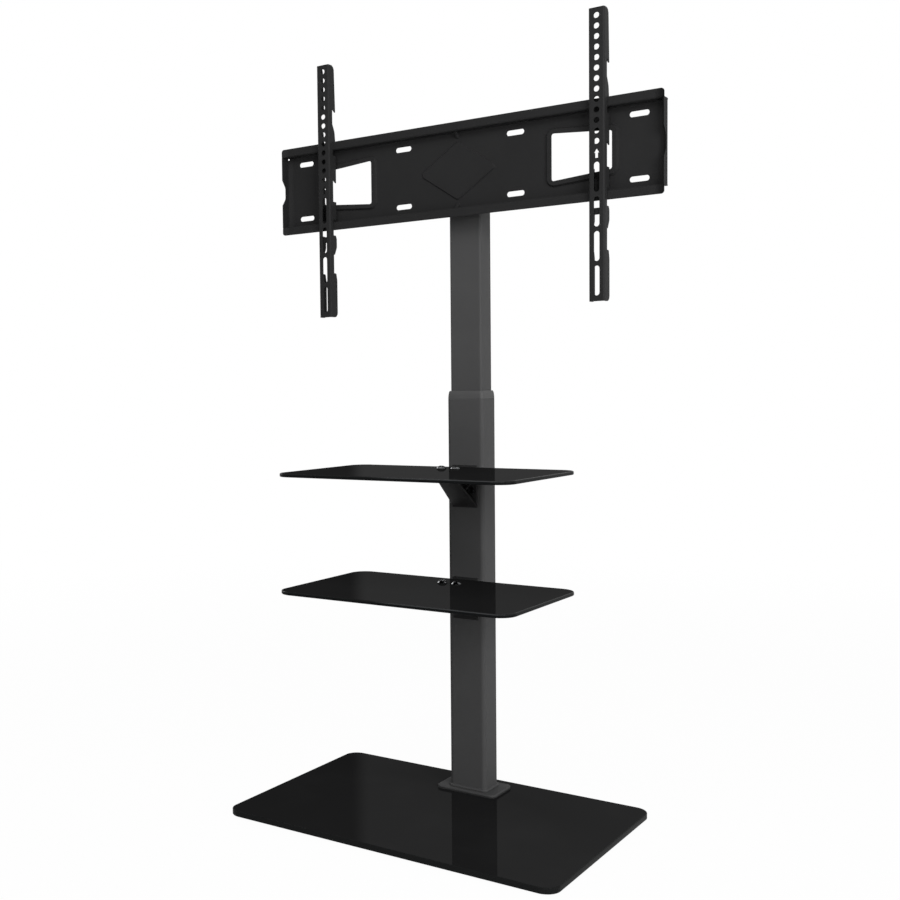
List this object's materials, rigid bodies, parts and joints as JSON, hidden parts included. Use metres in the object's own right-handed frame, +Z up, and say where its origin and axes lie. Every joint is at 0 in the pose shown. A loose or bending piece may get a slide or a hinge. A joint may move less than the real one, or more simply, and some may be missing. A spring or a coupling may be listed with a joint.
{
  "type": "floor stand for a flat screen",
  "caption": "Floor stand for a flat screen: glass base and shelves on a telescoping steel column, with a swivelling mount plate and hook-on screen arms.",
  "frame": {"origin": "middle of the base's outline, on the floor under the feet", "axes": "+Z up, +Y to the back (the side away from the screen), +X to the right of someone who faces the screen"},
  "size_m": [0.7246, 0.4, 1.3249],
  "materials": {
    "black_glass": "black tempered glass, polished edges, opaque",
    "dark_steel": "satin dark grey powder coat",
    "plate_steel": "fine-grained near-black powder coat",
    "grey_plastic": "satin dark grey moulding",
    "black_plastic": "plain black moulding",
    "nylon": "natural nylon",
    "rubber": "matt black rubber",
    "chrome": "bright chrome",
    "zinc_steel": "bright zinc plate"
  },
  "bodies": {
    "base": {"base_glass": "black_glass", "base_feet": "rubber", "under_plate": "dark_steel", "under_gasket": "rubber", "foot_gasket": "rubber", "foot_flange": "dark_steel", "anchor_block": "zinc_steel", "base_bolts": "zinc_steel", "lower_column": "dark_steel", "guide_sleeve": "grey_plastic", "clamp_nuts": "dark_steel", "clamp_screws": "zinc_steel", "upper_shelf_glass": "black_glass", "upper_shelf_bracket": "dark_steel", "upper_shelf_pad": "rubber", "upper_shelf_screws": "chrome", "upper_shelf_washers": "chrome", "upper_shelf_nuts": "zinc_steel", "upper_bar_screws": "zinc_steel", "upper_nut_strip": "zinc_steel", "lower_shelf_glass": "black_glass", "lower_shelf_bracket": "dark_steel", "lower_shelf_pad": "rubber", "lower_shelf_screws": "chrome", "lower_shelf_washers": "chrome", "lower_shelf_nuts": "zinc_steel", "lower_bar_screws": "zinc_steel", "lower_nut_strip": "zinc_steel"},
    "riser": {"upper_column": "dark_steel", "column_cap": "black_plastic", "column_shoe": "black_plastic", "column_lugs": "dark_steel", "swivel_pin": "zinc_steel", "swivel_nut": "zinc_steel", "slip_washers": "nylon", "steel_washers": "zinc_steel"},
    "mount": {"mount_plate": "plate_steel", "plate_lugs": "plate_steel"},
    "left_arm": {"arm_left": "plate_steel"},
    "right_arm": {"arm_right": "plate_steel"}
  },
  "joints": [
    {"name": "column_height", "type": "slide", "parent": "base", "child": "riser", "axis": [0, 0, 1], "range_m": [-0.15, 0.1]},
    {"name": "mount_swivel", "type": "hinge", "parent": "riser", "child": "mount", "pos_m": [0, 0.10575, 1.107], "axis": [0, 0, 1], "range_deg": [-30, 30]},
    {"name": "left_arm_slide", "type": "slide", "parent": "mount", "child": "left_arm", "axis": [1, 0, 0], "range_m": [-0.065, 0.155]},
    {"name": "right_arm_slide", "type": "slide", "parent": "mount", "child": "right_arm", "axis": [-1, 0, 0], "range_m": [-0.065, 0.155]}
  ]
}
